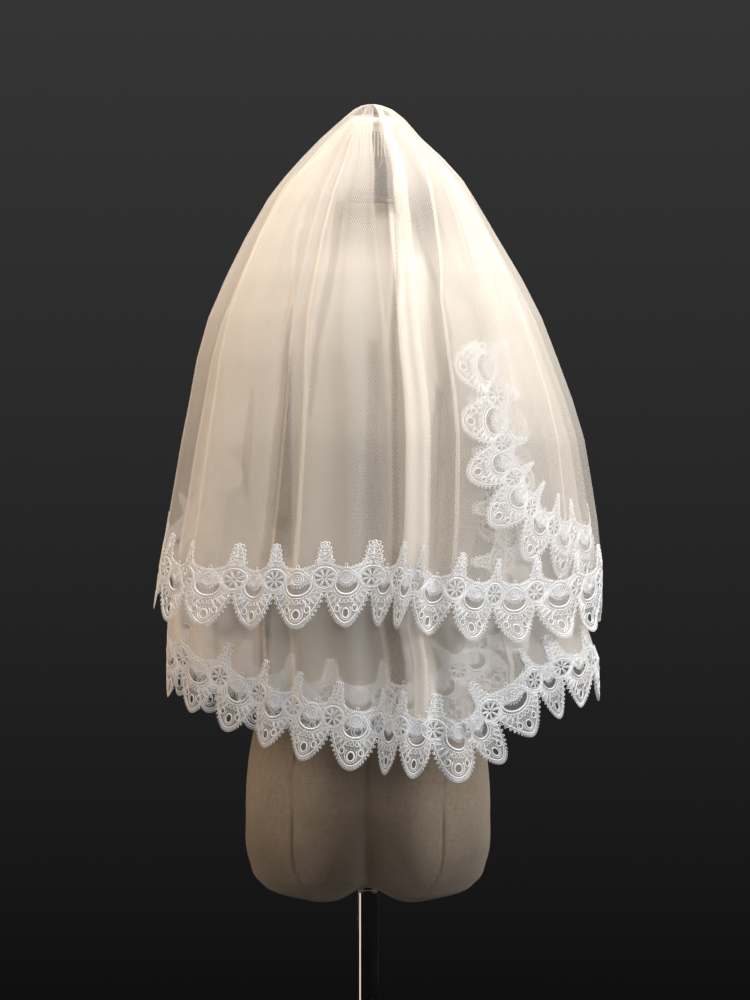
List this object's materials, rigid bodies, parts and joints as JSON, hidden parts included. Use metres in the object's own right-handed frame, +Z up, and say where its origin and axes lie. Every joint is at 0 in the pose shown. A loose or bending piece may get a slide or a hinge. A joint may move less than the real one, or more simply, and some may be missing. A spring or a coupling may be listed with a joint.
{
  "type": "bridal veil on dress form",
  "caption": "Two-tier bridal veil of soft ivory tulle with corded scalloped lace edging, gathered on a comb and hung over a limbless linen dress form on a chrome pole and round base",
  "frame": {"origin": "middle of the base's flat underside, on the floor", "axes": "+Z up along the pole, -Y toward the back of the form and of the veil, +X to the right as seen from the back"},
  "size_m": [0.5551, 0.3882, 1.6262],
  "materials": {
    "tulle": "soft sheer tulle",
    "corded_lace": "white corded lace",
    "satin_binding": "satin",
    "comb_plastic": "clear",
    "linen_cover": "linen",
    "dark_cap": "dark satin stain",
    "chrome": "polished",
    "base_enamel": "satin enamel"
  },
  "bodies": {
    "root": {"upper_tulle": "tulle", "upper_tulle_turned": "tulle", "lower_tulle": "tulle", "lower_tulle_turned": "tulle", "upper_lace_front": "corded_lace", "upper_lace_back_one": "corded_lace", "upper_lace_back_two": "corded_lace", "upper_lace_turned": "corded_lace", "lower_lace_front": "corded_lace", "lower_lace_back_one": "corded_lace", "lower_lace_back_two": "corded_lace", "lower_lace_turned": "corded_lace", "gathering_binding": "satin_binding", "comb": "comb_plastic", "veil_post": "dark_cap", "neck_cap": "dark_cap", "form_body": "linen_cover", "pole_collar": "chrome", "pole": "chrome", "base": "base_enamel"}
  },
  "joints": []
}
